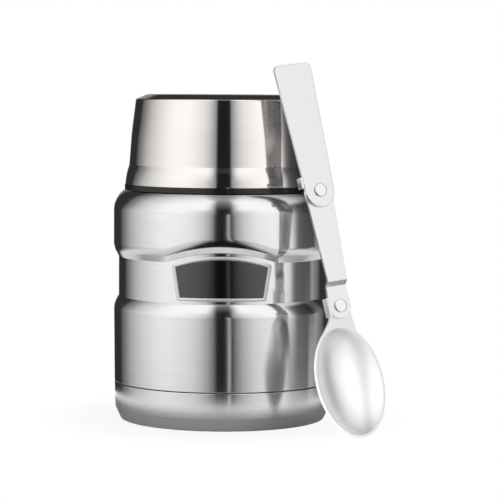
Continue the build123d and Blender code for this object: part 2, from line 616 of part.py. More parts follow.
def spoon_handle():
    face = rounded_end(
        HANDLE_END_R, (HANDLE_TOP_HALF, HANDLE_LENGTH, HANDLE_CORNER),
        (-HANDLE_TOP_HALF, HANDLE_LENGTH, HANDLE_CORNER))
    strip = plate(face, HANDLE_Z, HANDLE_Z + SHEET) - disc(RIVET_R + GAP, -FAR, FAR)
    return SPOON * Pos(0, LINK_LENGTH, 0) * Rotation(0, 0, HANDLE_SET) * strip


def rivet(y, low, high, tail):
    """A rivet through two plates, with a domed head in front and a flat tail behind, or none."""
    head = disc(RIVET_HEAD_R, high, high + RIVET_HEAD)
    piece = disc(RIVET_R, low - tail, high)
    piece += fillet(head.edges().group_by(Axis.Z)[-1], RIVET_HEAD * 0.7)
    if tail:
        piece += disc(RIVET_HEAD_R, low - tail, low)
    return SPOON * Pos(0, y, 0) * piece


def rivet_lower():
    return rivet(0, -SHEET - PLATE_GAP / 2, LINK_Z + SHEET, RIVET_HEAD)


def rivet_upper():
    """Its tail is flush, so that the bowl folds past it."""
    return rivet(LINK_LENGTH, LINK_TOP_Z, HANDLE_Z + SHEET + PLATE_GAP / 2, 0)


# ---- the pieces --------------------------------------------------------------------------

save("outer_shell", outer_shell())
save("base_cup", base_cup())
save("inner_vessel", inner_vessel())
save("heat_foil", heat_foil())
save("getter", getter())
save("vacuum_seal", vacuum_seal())
save("badge_plate", badge_plate())
save("badge_inlay", badge_inlay())
save("stopper_body", stopper_body())
save("stopper_plug", stopper_plug())
save("stopper_skirt", stopper_skirt())
save("stopper_cap", stopper_cap())
save("stopper_foam", stopper_foam())
save("stopper_gasket", stopper_gasket())
save("spoon_cover", spoon_cover())
save("cup_shell", cup_shell())
save("cup_ring", cup_ring())
save("cup_seal", cup_seal())
save("cup_bowl", cup_bowl())
save("spoon_bowl", spoon_bowl())
save("spoon_link", spoon_link())
save("spoon_handle", spoon_handle())
save("rivet_lower", rivet_lower())
save("rivet_upper", rivet_upper())
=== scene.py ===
import json
from math import cos, pi, radians, sin, sqrt, tan

import bmesh
import bpy
from mathutils import Matrix, Vector


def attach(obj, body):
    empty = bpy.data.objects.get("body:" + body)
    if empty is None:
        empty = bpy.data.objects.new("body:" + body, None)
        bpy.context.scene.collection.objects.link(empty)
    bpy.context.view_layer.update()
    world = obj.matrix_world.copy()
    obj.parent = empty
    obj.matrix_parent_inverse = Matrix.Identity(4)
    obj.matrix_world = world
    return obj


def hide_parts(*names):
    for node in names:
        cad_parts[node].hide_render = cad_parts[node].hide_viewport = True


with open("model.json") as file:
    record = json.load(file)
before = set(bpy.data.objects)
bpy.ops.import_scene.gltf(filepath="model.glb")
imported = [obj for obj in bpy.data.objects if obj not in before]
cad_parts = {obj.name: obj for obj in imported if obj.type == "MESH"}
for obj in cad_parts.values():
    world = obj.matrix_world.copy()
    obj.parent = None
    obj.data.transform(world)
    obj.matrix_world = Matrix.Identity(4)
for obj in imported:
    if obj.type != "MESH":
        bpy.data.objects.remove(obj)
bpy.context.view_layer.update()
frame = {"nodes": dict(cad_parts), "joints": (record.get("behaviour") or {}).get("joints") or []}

NODES = frame["nodes"]
JOINTS = {joint["name"]: joint for joint in frame["joints"]}
scene = bpy.context.scene
scene.view_settings.view_transform = "Standard"


# ---- camera ------------------------------------------------------------------------------
# A long lens in front of the badge, a little to the right and just above the jar's top. It is
# tipped down to centre the jar, and turned by a third of a degree.

CAMERA_PLACE = (0.0118, -0.975, 0.1449)
CAMERA_TIPPED_DOWN = 4.20       # degrees
CAMERA_ROLL = 0.34              # degrees
LENS = 161.1
SENSOR_WIDTH = 36.0

camera = bpy.data.objects.new("camera", bpy.data.cameras.new("camera"))
scene.collection.objects.link(camera)
camera.data.lens = LENS
camera.data.sensor_width = SENSOR_WIDTH
camera.location = CAMERA_PLACE
tipping = Matrix.Rotation(radians(90.0 - CAMERA_TIPPED_DOWN), 3, "X")
rolling = Matrix.Rotation(radians(CAMERA_ROLL), 3, "Z")
camera.rotation_euler = (tipping @ rolling).to_euler()
scene.camera = camera


# ---- studio ------------------------------------------------------------------------------
# An evenly lit white room, and in it a round tent of gauze that the camera doesn't see. The
# tent is dark in front and behind and open at the sides, so that turned steel shows light and
# dark strips. A dark bar hangs in it to the right, and below the horizon it dims.

TENT_RADIUS = 1.6
TENT_CENTRE = Vector((0.0, 0.0, 0.07))
GAP_HANG = radians(3.2)         # how far the front gauze hangs to the right at its foot
SLIT_SPAN = radians(20.0)       # the bearing that the slit's stops are shares of
WEDGE_SPREAD = 0.55             # how much the wedge widens with the square of its depth
BAR_FOOT_SHIFT = 0.06           # how far the bar's foot stands nearer, in half turns


def math_node(nodes, links, operation, first, second=None):
    """One sum on two sockets or numbers, and the socket that it comes out of."""
    node = nodes.new("ShaderNodeMath")
    node.operation = operation
    for socket, value in zip(node.inputs, (first, second)):
        if isinstance(value, bpy.types.NodeSocket):
            links.new(value, socket)
        elif value is not None:
            socket.default_value = value
    return node.outputs[0]


def ramp_node(nodes, links, factor, *stops, smooth="LINEAR"):
    """A grey or coloured ramp over (place, level or colour) stops, read at the factor."""
    node = nodes.new("ShaderNodeValToRGB")
    node.color_ramp.interpolation = smooth
    elements = node.color_ramp.elements
    while len(elements) < len(stops):
        elements.new(1.0)
    for element, (place, level) in zip(elements, stops):
        element.position = place
        element.color = (*level, 1.0) if isinstance(level, tuple) else (level, level, level, 1.0)
    links.new(factor, node.inputs["Fac"])
    return node.outputs["Color"]


def blend_node(nodes, links, share, first, second):
    """The first value where the share is 0, and the second where it is 1."""
    change = math_node(nodes, links, "SUBTRACT", second, first)
    return math_node(nodes, links, "ADD", first, math_node(nodes, links, "MULTIPLY", change, share))


def new_material(name):
    """A material with an emptied node tree, its nodes and its links."""
    material = bpy.data.materials.new(name)
    material.use_nodes = True
    material.node_tree.nodes.clear()
    return material, material.node_tree.nodes, material.node_tree.links


def surface(nodes, links, shader):
    """Joins a shader to the material's output."""
    output = nodes.new("ShaderNodeOutputMaterial")
    links.new(shader.outputs[0], output.inputs["Surface"])


world = bpy.data.worlds.new("white_room")
world.use_nodes = True
world.node_tree.nodes["Background"].inputs["Color"].default_value = (1.0, 1.0, 1.0, 1.0)
world.node_tree.nodes["Background"].inputs["Strength"].default_value = 1.0
scene.world = world

gauze, nodes, links = new_material("studio_gauze")
place = nodes.new("ShaderNodeTexCoord").outputs["Object"]
aim = nodes.new("ShaderNodeVectorMath")
aim.operation = "NORMALIZE"
links.new(place, aim.inputs[0])
split = nodes.new("ShaderNodeSeparateXYZ")
links.new(aim.outputs[0], split.inputs[0])
height = split.outputs["Z"]
ahead = math_node(nodes, links, "MULTIPLY", split.outputs["Y"], -1.0)
bearing = math_node(nodes, links, "ARCTAN2", split.outputs["X"], ahead)
raised = math_node(nodes, links, "ADD", height, 0.5)
height_share = math_node(nodes, links, "MULTIPLY", math_node(nodes, links, "ADD", height, 1.0), 0.5)

# the front gauze hangs a little to the right of the camera, more so lower down
hang = ramp_node(nodes, links, raised, (0.35, 1.0), (0.44, 0.33))
hang = math_node(nodes, links, "MULTIPLY", hang, GAP_HANG)
bearing = math_node(nodes, links, "SUBTRACT", bearing, hang)
round_by = math_node(nodes, links, "DIVIDE", math_node(nodes, links, "ABSOLUTE", bearing), pi)

# the front gauze by the share of half a turn, read at four heights
above = ramp_node(
    nodes, links, round_by,
    (0.043, 0.012), (0.050, 0.25), (0.078, 0.45), (0.106, 0.63), (0.139, 0.77), (0.194, 0.91),
    (0.25, 1.0))
upper = ramp_node(
    nodes, links, round_by, (0.043, 0.012), (0.06, 0.35), (0.085, 0.75), (0.106, 0.95), (0.139, 1.0))
level = ramp_node(
    nodes, links, round_by,
    (0.050, 0.012), (0.055, 0.15), (0.060, 0.26), (0.072, 0.38), (0.084, 0.50), (0.115, 0.70),
    (0.155, 0.84), (0.200, 0.95), (0.250, 0.98), (0.30, 1.0))
below = ramp_node(
    nodes, links, round_by,
    (0.048, 0.012), (0.054, 0.11), (0.063, 0.20), (0.087, 0.31), (0.094, 0.38), (0.122, 0.50),
    (0.156, 0.66), (0.200, 0.79), (0.228, 0.85), (0.278, 0.90), (0.328, 0.97), (0.39, 1.0))
front_gap = blend_node(
    nodes, links, ramp_node(nodes, links, raised, (0.36, 0.0), (0.44, 1.0)), below, level)
front_gap = blend_node(
    nodes, links, ramp_node(nodes, links, raised, (0.46, 0.0), (0.54, 1.0)), front_gap, above)
front_gap = blend_node(
    nodes, links, ramp_node(nodes, links, raised, (0.75, 0.0), (0.95, 1.0)), front_gap, upper)

# the slit in it, below the camera
slit = ramp_node(
    nodes, links, math_node(nodes, links, "DIVIDE", bearing, SLIT_SPAN),
    (0.155, 0.0), (0.195, 0.62), (0.29, 0.62), (0.325, 0.0))
low = ramp_node(nodes, links, raised, (0.5, 1.0), (0.55, 0.0))
front_gap = math_node(nodes, links, "MAXIMUM", front_gap, math_node(nodes, links, "MULTIPLY", slit, low))

# towards the ground it widens to a wedge, and lets some light through again at its foot
aside = math_node(nodes, links, "ABSOLUTE", split.outputs["X"])
depth_squared = math_node(nodes, links, "MULTIPLY", height, height)
widening = math_node(nodes, links, "MULTIPLY", depth_squared, WEDGE_SPREAD)
wedge = ramp_node(
    nodes, links, math_node(nodes, links, "SUBTRACT", aside, widening),
    (0.10, 0.008), (0.14, 0.04), (0.20, 0.25), (0.28, 0.60), (0.40, 1.0))
deep = math_node(nodes, links, "MULTIPLY", height, -1.0)
front_gap = blend_node(
    nodes, links, ramp_node(nodes, links, deep, (0.22, 0.0), (0.42, 1.0)), front_gap, wedge)
ground = ramp_node(nodes, links, aside, (0.0, 0.22), (0.10, 0.48), (0.20, 0.64))
front_gap = blend_node(
    nodes, links, ramp_node(nodes, links, deep, (0.79, 0.0), (0.85, 1.0)), front_gap, ground)

# overhead it is thinner, and there it is told by how far aside it is
overhead = ramp_node(nodes, links, height, (0.45, 0.0), (0.53, 0.035), (0.75, 0.125), (0.91, 0.23))
front_gap = math_node(nodes, links, "MAXIMUM", front_gap, overhead)
roof = ramp_node(nodes, links, aside, (0.0, 0.30), (0.10, 0.42), (0.20, 0.92), (0.30, 0.95))
front_gap = blend_node(
    nodes, links, ramp_node(nodes, links, height, (0.86, 0.0), (0.95, 1.0)), front_gap, roof)

# the gauze behind the jar, by the angle from the line of sight
back = math_node(nodes, links, "DIVIDE", math_node(nodes, links, "ARCCOSINE", split.outputs["Y"]), pi)
lift = ramp_node(nodes, links, height, (0.0, 0.0), (0.3, 0.05))
lift = math_node(nodes, links, "MULTIPLY", lift, ramp_node(nodes, links, back, (0.40, 1.0), (0.60, 0.0)))
back_gauze = ramp_node(
    nodes, links, math_node(nodes, links, "SUBTRACT", back, lift),
    (0.0, 0.30), (0.06, 0.28), (0.10, 0.03), (0.256, 0.03), (0.270, 0.10), (0.335, 0.27),
    (0.382, 0.45), (0.427, 0.58), (0.478, 0.70), (0.528, 0.80), (0.583, 0.91), (0.639, 0.98),
    (0.694, 1.0))

# low down behind the jar it is open, which lights the back of the spoon
opening = ramp_node(nodes, links, deep, (0.24, 0.0), (0.32, 1.0), (0.50, 1.0), (0.58, 0.0))
back_gauze = blend_node(nodes, links, opening, back_gauze, 1.0)

# the dark bar to the right of the jar, which the steel shows beside the spoon's mirror image
bar_by = math_node(nodes, links, "DIVIDE", bearing, pi)
at_foot = ramp_node(nodes, links, raised, (0.356, 1.0), (0.375, 0.0))
at_foot = math_node(nodes, links, "MULTIPLY", at_foot, BAR_FOOT_SHIFT)
bar_by = math_node(nodes, links, "ADD", bar_by, at_foot)
bar_low = ramp_node(
    nodes, links, bar_by, (0.425, 1.0), (0.450, 0.40), (0.466, 0.16), (0.607, 0.14), (0.625, 1.0))
bar_high = ramp_node(
    nodes, links, bar_by, (0.405, 1.0), (0.430, 0.45), (0.458, 0.17), (0.493, 0.09), (0.60, 0.06),
    (0.70, 1.0))
bar = blend_node(
    nodes, links, ramp_node(nodes, links, raised, (0.445, 0.0), (0.465, 1.0)), bar_low, bar_high)
bar_ends = ramp_node(nodes, links, height_share, (0.385, 0.0), (0.405, 1.0), (0.75, 1.0), (0.82, 0.0))
bar = blend_node(nodes, links, bar_ends, 1.0, bar)
back_gauze = math_node(nodes, links, "MULTIPLY", back_gauze, bar)

# below the horizon the gauze darkens, as a table top would
dimmed = ramp_node(
    nodes, links, height_share,
    (0.065, 0.40), (0.10, 0.45), (0.165, 0.52), (0.23, 0.60), (0.275, 0.62), (0.32, 0.68),
    (0.37, 0.74), (0.395, 0.79), (0.428, 0.85), (0.44, 0.90), (0.5, 0.94), (0.64, 0.99), (0.75, 1.0))
through = math_node(nodes, links, "MULTIPLY", front_gap, back_gauze)
through = math_node(nodes, links, "MULTIPLY", through, dimmed)
cloth = nodes.new("ShaderNodeBsdfTransparent")
links.new(through, cloth.inputs["Color"])
surface(nodes, links, cloth)

shape = bmesh.new()
bmesh.ops.create_uvsphere(shape, u_segments=48, v_segments=24, radius=TENT_RADIUS)
mesh = bpy.data.meshes.new("studio_tent")
shape.to_mesh(mesh)
shape.free()
tent = bpy.data.objects.new("studio_tent", mesh)
tent.location = TENT_CENTRE
scene.collection.objects.link(tent)
mesh.materials.append(gauze)
tent.visible_camera = False


# ---- bowl light --------------------------------------------------------------------------
# A small round light in front of the spoon's bowl, which lights nothing else.

BOWL_LIGHT_PLACE = (0.058, -0.079, 0.027)
BOWL_LIGHT_RADIUS = 0.024
BOWL_LIGHT_STRENGTH = 0.58      # share of the white room's brightness

lamp = bpy.data.lights.new("bowl_light", "AREA")
lamp.shape = "DISK"
lamp.size = 2.0 * BOWL_LIGHT_RADIUS
lamp.energy = BOWL_LIGHT_STRENGTH * pi * pi * BOWL_LIGHT_RADIUS ** 2
bowl_light = bpy.data.objects.new("bowl_light", lamp)
bowl_light.location = BOWL_LIGHT_PLACE
bowl_light.rotation_euler = (pi / 2, 0.0, 0.0)
bowl_light.visible_camera = False
lit_by_it = bpy.data.collections.new("lit_by_bowl_light")
lit_by_it.objects.link(NODES["spoon_bowl"])
bowl_light.light_linking.receiver_collection = lit_by_it
scene.collection.objects.link(bowl_light)


# ---- floor -------------------------------------------------------------------------------
# A round grey board under the jar and the spoon, which the camera sees nearly as white as the
# room. The steel shows it as it is lit close to the jar, and whiter towards its rim. The jar's
# shadow shows on it faintly.

FLOOR_RADIUS = 0.1
FLOOR_DEPTH = 0.0002
FLOOR_GREY = (0.45, 0.45, 0.45, 1.0)
FLOOR_SIDES = 96

board, nodes, links = new_material("floor_board")
place = nodes.new("ShaderNodeTexCoord").outputs["Object"]
span = nodes.new("ShaderNodeVectorMath")
span.operation = "LENGTH"
links.new(place, span.inputs[0])
out_to_rim = math_node(nodes, links, "DIVIDE", span.outputs["Value"], FLOOR_RADIUS)
lit = nodes.new("ShaderNodeBsdfDiffuse")
lit.inputs["Color"].default_value = FLOOR_GREY
share = ramp_node(nodes, links, out_to_rim, (0.48, 0.92), (0.85, 1.0), smooth="EASE")
rays = nodes.new("ShaderNodeLightPath")
mirrored = ramp_node(nodes, links, out_to_rim, (0.75, 0.0), (1.0, 1.0), smooth="EASE")
mirrored = math_node(nodes, links, "MULTIPLY", mirrored, rays.outputs["Is Glossy Ray"])
seen = math_node(nodes, links, "ADD", rays.outputs["Is Camera Ray"], mirrored)
seen = math_node(nodes, links, "ADD", seen, rays.outputs["Is Transmission Ray"])
glow = nodes.new("ShaderNodeEmission")
white = nodes.new("ShaderNodeMixShader")
links.new(math_node(nodes, links, "MULTIPLY", share, seen), white.inputs[0])
links.new(lit.outputs[0], white.inputs[1])
links.new(glow.outputs[0], white.inputs[2])
surface(nodes, links, white)

shape = bmesh.new()
bmesh.ops.create_circle(shape, cap_ends=True, segments=FLOOR_SIDES, radius=FLOOR_RADIUS)
mesh = bpy.data.meshes.new("floor")
shape.to_mesh(mesh)
shape.free()
floor = bpy.data.objects.new("floor", mesh)
floor.location.z = -FLOOR_DEPTH
scene.collection.objects.link(floor)
mesh.materials.append(board)


# ---- casing ------------------------------------------------------------------------------
# The outer shell: half a millimetre of stainless sheet, drawn and rolled in to a waist, its
# bevel pressed up into an arch over the badge, then brushed round and round to a satin.

MM = 0.001                      # the shapes are drawn in millimetres
TURN_STEPS = 288
ROUNDING_STEPS = 8
CLOSED_UP = 0.0005              # points this close are made one, as where a sheet meets the axis
SHEET = 0.5
SEAM_Z = 16.5
SEAM_GAP = 0.3
SEAM_R = 47.15
LIP_ROUNDING = 0.28
BODY_R = 47.5
BODY_EDGE_DROP = 2.5            # from the waist down to where the body is full width
BODY_EDGE_ROUNDING = 8.8
WAIST_R = 45.4
WAIST_BOTTOM = 53.7
WAIST_BOTTOM_ROUNDING = 0.5
WAIST_TOP = 70.75
WAIST_TOP_ROUNDING = 0.4
BAND_R = 47.6
BEVEL_TOP = 74.94
BEVEL_ROUNDING = 8.0
SHOULDER_Z = 96.36
SHOULDER_ROUNDING = 9.8
LEDGE_R = 43.39
LEDGE_Z = 99.35
LEDGE_ROUNDING = 0.35
NECK_R = 36.0
NECK_ROUNDING = 1.0
NECK_TOP = 111.0
ARCH_TOP = 75.1
ARCH_RADIUS = 63.0
ARCH_EASE = 0.5
ARCH_BELOW = 1.0                # the arch lifts the casing from this far under the waist's top
ARCH_ABOVE = 6.0                # and up to this far over the bevel
THREAD_STARTS = 4
THREAD_LEAD = 16.0              # rise in a full turn
THREAD_ARC = 50.0               # degrees
THREAD_DROP = 5.2               # below the mouth's rim
RIDGE_DEPTH = 0.9
RIDGE_WIDTH = 1.2
RIDGE_ROOT = 0.4                # how far a ridge reaches into the neck
RIDGE_STEPS = 20


def spread_noise(nodes, links, along, across, detail=2.0, distortion=0.0):
    """Noise drawn out round the jar's axis, with grains of these lengths in metres."""
    stretch = nodes.new("ShaderNodeVectorMath")
    stretch.operation = "MULTIPLY"
    links.new(nodes.new("ShaderNodeTexCoord").outputs["Object"], stretch.inputs[0])
    stretch.inputs[1].default_value = (1.0 / along, 1.0 / along, 1.0 / across)
    noise = nodes.new("ShaderNodeTexNoise")
    noise.inputs["Scale"].default_value = 1.0
    noise.inputs["Detail"].default_value = detail
    noise.inputs["Distortion"].default_value = distortion
    links.new(stretch.outputs[0], noise.inputs["Vector"])
    return noise.outputs["Fac"]


def tint(nodes, links, factor, colour, darker):
    """The colour, darkened by up to this share where the factor is low."""
    low = tuple(channel * (1.0 - darker) for channel in colour)
    return ramp_node(nodes, links, factor, (0.3, low), (0.7, colour))


def range_node(nodes, links, factor, low, high):
    """A factor from 0 to 1, brought between two levels."""
    node = nodes.new("ShaderNodeMapRange")
    node.inputs["From Min"].default_value = 0.25
    node.inputs["From Max"].default_value = 0.75
    node.inputs["To Min"].default_value = low
    node.inputs["To Max"].default_value = high
    links.new(factor, node.inputs["Value"])
    return node.outputs["Result"]


def bump_node(nodes, links, height, depth):
    """The normal that a relief of this depth in metres gives."""
    node = nodes.new("ShaderNodeBump")
    node.inputs["Distance"].default_value = depth
    links.new(height, node.inputs["Height"])
    return node.outputs["Normal"]


def turned_steel(name, colour, roughness, anisotropy, line, relief, darker=0.04):
    """Stainless steel brushed round the jar's axis, in lines this wide and deep in metres."""
    material, nodes, links = new_material(name)
    shader = nodes.new("ShaderNodeBsdfPrincipled")
    shader.inputs["Metallic"].default_value = 1.0
    fine = spread_noise(nodes, links, 60.0 * line, line, detail=3.0)
    wide = spread_noise(nodes, links, 150.0 * line, 9.0 * line)
    links.new(tint(nodes, links, wide, colour, darker), shader.inputs["Base Color"])
    links.new(range_node(nodes, links, fine, roughness * 0.85, roughness * 1.15), shader.inputs["Roughness"])
    links.new(bump_node(nodes, links, fine, relief), shader.inputs["Normal"])
    tangent = nodes.new("ShaderNodeTangent")
    tangent.direction_type = "RADIAL"
    tangent.axis = "Z"
    links.new(tangent.outputs[0], shader.inputs["Tangent"])
    shader.inputs["Anisotropic"].default_value = anisotropy
    shader.inputs["Anisotropic Rotation"].default_value = 0.25
    surface(nodes, links, shader)
    return material


def turned(corners):
    """A sheet turned about the jar's axis from (radius, height, rounding) corners."""
    shape = bmesh.new()
    line = [shape.verts.new((radius, 0.0, height)) for radius, height, rounding in corners]
    runs = [(line[end - 1].co.copy(), line[end].co.copy()) for end in range(1, len(line))]
    for start, end in zip(line, line[1:]):
        shape.edges.new((start, end))
    for inner, outer, corner, (_, _, rounding) in zip(runs, runs[1:], line[1:], corners[1:]):
        turn = (inner[1] - inner[0]).angle(outer[1] - outer[0])
        if rounding:
            bmesh.ops.bevel(
                shape, geom=[corner], offset=rounding * tan(turn / 2), offset_type="OFFSET",
                segments=ROUNDING_STEPS, profile=0.5, affect="VERTICES", material=-1)
    bmesh.ops.spin(
        shape, geom=shape.verts[:] + shape.edges[:], cent=(0, 0, 0), axis=(0, 0, 1),
        angle=2 * pi, steps=TURN_STEPS, use_merge=True)
    bmesh.ops.remove_doubles(shape, verts=shape.verts, dist=CLOSED_UP)
    bmesh.ops.recalc_face_normals(shape, faces=shape.faces)
    return shape


def piece(shape, name, material, body, slot, *stands_for, sheet=0.0, sharp=35.0):
    """Makes a shape in millimetres a piece of the object, with its finish and body. The slot is not used."""
    bmesh.ops.scale(shape, vec=(MM, MM, MM), verts=shape.verts)
    mesh = bpy.data.meshes.new(name)
    shape.to_mesh(mesh)
    shape.free()
    mesh.shade_smooth()
    mesh.set_sharp_from_angle(angle=radians(sharp))
    mesh.materials.append(material)
    made = bpy.data.objects.new(name, mesh)
    scene.collection.objects.link(made)
    if sheet:
        wall = made.modifiers.new("sheet", "SOLIDIFY")
        wall.thickness = sheet * MM
        wall.offset = -1.0
        wall.use_even_offset = True
    made.modifiers.new("shading", "WEIGHTED_NORMAL").keep_sharp = True
    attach(made, body)
    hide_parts(*stands_for)


def arch_lift(x):
    """How far the bevel is raised over the badge, eased into its level parts."""
    rise = ARCH_TOP - ARCH_RADIUS + sqrt(max(ARCH_RADIUS ** 2 - x ** 2, 0.0)) - WAIST_TOP
    return (rise + sqrt(rise ** 2 + ARCH_EASE ** 2)) / 2


def add_ridges(shape, radius, height):
    """Thread ridges round a wall, their middles at this height, run out to nothing at both ends."""
    rise = THREAD_LEAD * THREAD_ARC / 360
    for start in range(THREAD_STARTS):
        first = 2 * pi * start / THREAD_STARTS - radians(THREAD_ARC) / 2
        low = height - rise / 2
        turning = Matrix.Rotation(first, 4, "Z")
        rows = (
            (-RIDGE_ROOT, -RIDGE_WIDTH / 2), (RIDGE_DEPTH, -RIDGE_WIDTH / 3),
            (RIDGE_DEPTH, RIDGE_WIDTH / 3), (-RIDGE_ROOT, RIDGE_WIDTH / 2))
        ring = [shape.verts.new(turning @ Vector((radius + out, 0.0, low + up))) for out, up in rows]
        face = shape.faces.new(ring)
        spun = bmesh.ops.spin(
            shape, geom=[face, *face.edges, *ring], cent=(0, 0, 0), axis=(0, 0, 1),
            dvec=(0, 0, rise / RIDGE_STEPS), angle=radians(THREAD_ARC), steps=RIDGE_STEPS)
        ends = ring + [item for item in spun["geom_last"] if isinstance(item, bmesh.types.BMVert)]
        for vert in ends:
            flat = Vector((vert.co.x, vert.co.y))
            flat *= (radius - RIDGE_ROOT) / flat.length
            vert.co.x, vert.co.y = flat


body_steel = turned_steel("body_steel", (0.95, 0.95, 0.95), 0.145, 0.65, 0.00016, 0.0000012)

seam_top = SEAM_Z + SEAM_GAP / 2
casing_line = (
    (SEAM_R - SHEET, seam_top, 0), (SEAM_R, seam_top, LIP_ROUNDING),
    (BODY_R, WAIST_BOTTOM - BODY_EDGE_DROP, BODY_EDGE_ROUNDING),
    (WAIST_R, WAIST_BOTTOM, WAIST_BOTTOM_ROUNDING), (WAIST_R, WAIST_TOP, WAIST_TOP_ROUNDING),
    (BAND_R, BEVEL_TOP, BEVEL_ROUNDING), (BAND_R, SHOULDER_Z, SHOULDER_ROUNDING),
    (LEDGE_R, LEDGE_Z, LEDGE_ROUNDING), (NECK_R, LEDGE_Z, NECK_ROUNDING), (NECK_R, NECK_TOP - SHEET, 0))
shape = turned(casing_line)
for vert in shape.verts:
    if vert.co.y < 0 and WAIST_TOP - ARCH_BELOW < vert.co.z < BEVEL_TOP + ARCH_ABOVE:
        vert.co.z += arch_lift(vert.co.x)
add_ridges(shape, NECK_R, NECK_TOP - THREAD_DROP)
piece(shape, "casing", body_steel, "jar", "body_steel", "outer_shell", sheet=SHEET)


# ---- base --------------------------------------------------------------------------------
# The foot is a second pressing, let into the casing at a fine seam. It is chamfered down to
# a ring that the jar stands on, and its middle is drawn up around the sealed air hole.

FOOT_EDGE = (46.75, 5.2)
FOOT_EDGE_ROUNDING = 2.0
FOOT_R = 44.4
FOOT_INNER_R = 38.7
FOOT_RING_ROUNDING = 0.6
FOOT_RECESS = 1.6
FOOT_RECESS_SLOPE = 1.2
FOOT_RECESS_ROUNDING = 0.8
SEAL_HOLE_R = 2.0

seam_bottom = SEAM_Z - SEAM_GAP / 2
foot_line = (
    (SEAM_R - SHEET, seam_bottom, 0), (SEAM_R, seam_bottom, LIP_ROUNDING),
    (*FOOT_EDGE, FOOT_EDGE_ROUNDING), (FOOT_R, 0, FOOT_RING_ROUNDING),
    (FOOT_INNER_R, 0, FOOT_RING_ROUNDING),
    (FOOT_INNER_R - FOOT_RECESS_SLOPE, FOOT_RECESS, FOOT_RECESS_ROUNDING),
    (SEAL_HOLE_R, FOOT_RECESS, 0))
piece(turned(foot_line), "foot", body_steel, "jar", "body_steel", "base_cup", sheet=SHEET)


# ---- badge -------------------------------------------------------------------------------
# A bare badge on the front of the waist: a rounded bright rim around a smooth, nearly black
# panel. It is bent to the waist and its top follows the arch.

BADGE_HEADROOM = 1.4            # under the top of the arch
BADGE_CROWN = 3.8               # rise of its curved top
BADGE_FOOT = 1.15               # over the bottom of the waist
BADGE_TOP = ARCH_TOP - BADGE_HEADROOM
BADGE_CORNER_Z = BADGE_TOP - BADGE_CROWN
BADGE_BOTTOM = WAIST_BOTTOM + BADGE_FOOT
BADGE_TOP_HALF = 21.0
BADGE_BOTTOM_HALF = 18.7
RIM_WIDTH = 1.5
RIM_PROUD = 1.0
BEAD_STEPS = 8
PANEL_PROUD = 0.7
PANEL_SHEET = 0.5
BADGE_CORNER = 0.9
CORNER_STEPS = 5
BADGE_TOP_STEPS = 32
BADGE_FOOT_STEPS = 28


def crown(x):
    """The height of the badge's curved top."""
    rise = BADGE_TOP - BADGE_CORNER_Z
    radius = (BADGE_TOP_HALF ** 2 + rise ** 2) / (2 * rise)
    return BADGE_TOP - radius + sqrt(radius ** 2 - x ** 2)


def bend_to_waist(shape):
    """Bends a flat shape, drawn on the front plane, round the waist."""
    for vert in shape.verts:
        vert.co.y = -sqrt((WAIST_R - vert.co.y) ** 2 - vert.co.x ** 2)


def badge_outline(shape):
    """One flat face with the badge's outline, its straight sides cut fine enough to bend."""
    top = [(BADGE_TOP_HALF * share, crown(BADGE_TOP_HALF * share))
           for share in [2 * step / BADGE_TOP_STEPS - 1 for step in range(BADGE_TOP_STEPS + 1)]]
    foot = [(BADGE_BOTTOM_HALF * (1 - 2 * step / BADGE_FOOT_STEPS), BADGE_BOTTOM)
            for step in range(BADGE_FOOT_STEPS + 1)]
    loop = [shape.verts.new((x, 0.0, z)) for x, z in top + foot]
    shape.faces.new(loop)
    corners = [loop[0], loop[BADGE_TOP_STEPS], loop[BADGE_TOP_STEPS + 1], loop[-1]]
    bmesh.ops.bevel(
        shape, geom=corners, offset=BADGE_CORNER, offset_type="OFFSET", segments=CORNER_STEPS,
        profile=0.5, affect="VERTICES", material=-1)
    return shape.faces[:][0]


def bright_metal(name, colour, roughness, grain, relief):
    """Plated or polished metal with a slight orange peel, this far across and deep in metres."""
    material, nodes, links = new_material(name)
    shader = nodes.new("ShaderNodeBsdfPrincipled")
    shader.inputs["Metallic"].default_value = 1.0
    peel = spread_noise(nodes, links, grain, grain)
    links.new(tint(nodes, links, peel, colour, 0.05), shader.inputs["Base Color"])
    links.new(range_node(nodes, links, peel, roughness * 0.8, roughness * 1.2), shader.inputs["Roughness"])
    links.new(bump_node(nodes, links, peel, relief), shader.inputs["Normal"])
    surface(nodes, links, shader)
    return material


def moulded(name, colour, roughness, grain, relief, darker=0.12, gloss=1.5):
    """Moulded plastic or rubber with a fine grain, this far across and deep in metres."""
    material, nodes, links = new_material(name)
    shader = nodes.new("ShaderNodeBsdfPrincipled")
    shader.inputs["IOR"].default_value = gloss
    skin = spread_noise(nodes, links, grain, grain, detail=4.0)
    cloud = spread_noise(nodes, links, 0.02, 0.02)
    links.new(tint(nodes, links, cloud, colour, darker), shader.inputs["Base Color"])
    links.new(range_node(nodes, links, skin, roughness * 0.85, roughness * 1.15), shader.inputs["Roughness"])
    links.new(bump_node(nodes, links, skin, relief), shader.inputs["Normal"])
    surface(nodes, links, shader)
    return material


badge_chrome = bright_metal("badge_chrome", (1.0, 1.0, 0.99), 0.45, 0.0008, 0.0000008)
badge_black = moulded("badge_black", (0.007, 0.0058, 0.0053), 0.12, 0.0004, 0.0000004, gloss=1.95)

